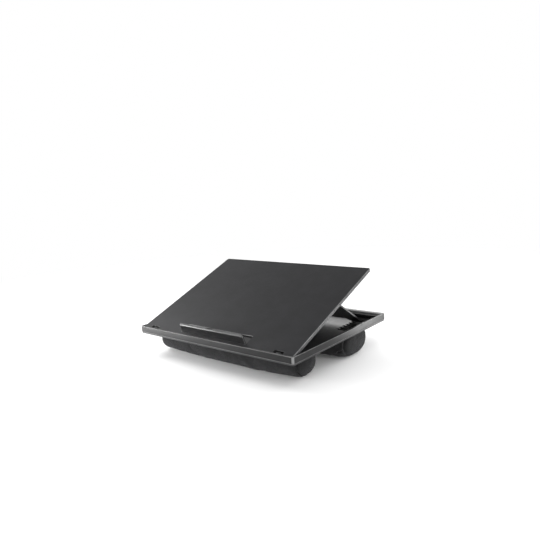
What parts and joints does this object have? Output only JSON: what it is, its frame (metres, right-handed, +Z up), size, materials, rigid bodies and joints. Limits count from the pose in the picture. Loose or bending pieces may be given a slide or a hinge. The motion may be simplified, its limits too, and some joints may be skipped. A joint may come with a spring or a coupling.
{
  "type": "cushioned laptop stand",
  "caption": "Shallow lap tray on bolster cushions, with a front-hinged plate that tilts up on a folding prop in notched racks and a flip-up stopper.",
  "frame": {"origin": "on the ground, below the middle of the tray", "axes": "+X to the right of the user, +Y away from the user, +Z up"},
  "size_m": [0.375, 0.3, 0.1547],
  "materials": {
    "tray_plastic": "dark grey moulded plastic, fine grain, satin",
    "cover_plastic": "near-black moulded plastic, matt",
    "plate_plastic": "dark grey moulded plastic, fine grain, satin",
    "black_plastic": "black moulded plastic, satin",
    "stopper_plastic": "dark grey moulded plastic, half gloss",
    "rubber": "black soft rubber",
    "steel": "bright zinc-plated steel",
    "cushion_fabric": "charcoal woven polyester over a soft filling",
    "board": "dark pressed board"
  },
  "bodies": {
    "base": {"tray_shell": "tray_plastic", "base_cover": "cover_plastic", "rack_left": "black_plastic", "rack_right": "black_plastic", "hinge_block_left": "black_plastic", "hinge_block_right": "black_plastic", "hinge_pin_left": "steel", "hinge_pin_right": "steel", "hinge_screw_left": "steel", "hinge_screw_right": "steel", "cover_screw_1": "steel", "cover_screw_2": "steel", "cover_screw_3": "steel", "cover_screw_4": "steel", "front_cushion": "cushion_fabric", "rear_cushion": "cushion_fabric", "front_cushion_board": "board", "rear_cushion_board": "board", "front_board_screw_1": "steel", "front_board_screw_2": "steel", "front_board_screw_3": "steel", "front_board_screw_4": "steel", "rear_board_screw_1": "steel", "rear_board_screw_2": "steel", "rear_board_screw_3": "steel", "rear_board_screw_4": "steel", "rest_bumper_1": "rubber", "rest_bumper_2": "rubber", "rest_bumper_3": "rubber", "rest_bumper_4": "rubber"},
    "plate": {"plate_top": "plate_plastic", "plate_underframe": "black_plastic", "plate_screw_1": "steel", "plate_screw_2": "steel", "plate_screw_3": "steel", "plate_screw_4": "steel", "plate_screw_5": "steel", "plate_screw_6": "steel", "prop_pin_left": "steel", "prop_pin_right": "steel", "stopper_pin_left": "steel", "stopper_pin_right": "steel"},
    "prop": {"prop_panel": "black_plastic"},
    "stopper": {"stopper": "stopper_plastic"}
  },
  "joints": [
    {"name": "plate_tilt", "type": "hinge", "parent": "base", "child": "plate", "pos_m": [0, -0.1395, 0.0557], "axis": [1, 0, 0], "range_deg": [-21.5, 13.5]},
    {"name": "prop_fold", "type": "hinge", "parent": "plate", "child": "prop", "pos_m": [0, 0.00841, 0.10859], "axis": [1, 0, 0], "range_deg": [-34.2, 54.3]},
    {"name": "stopper_fold", "type": "hinge", "parent": "plate", "child": "stopper", "pos_m": [0, -0.13581, 0.05861], "axis": [1, 0, 0], "range_deg": [-90, 0]}
  ],
  "couplings": [
    {"joint": "prop_fold", "follows": "plate_tilt", "ratio": -2.5153}
  ]
}
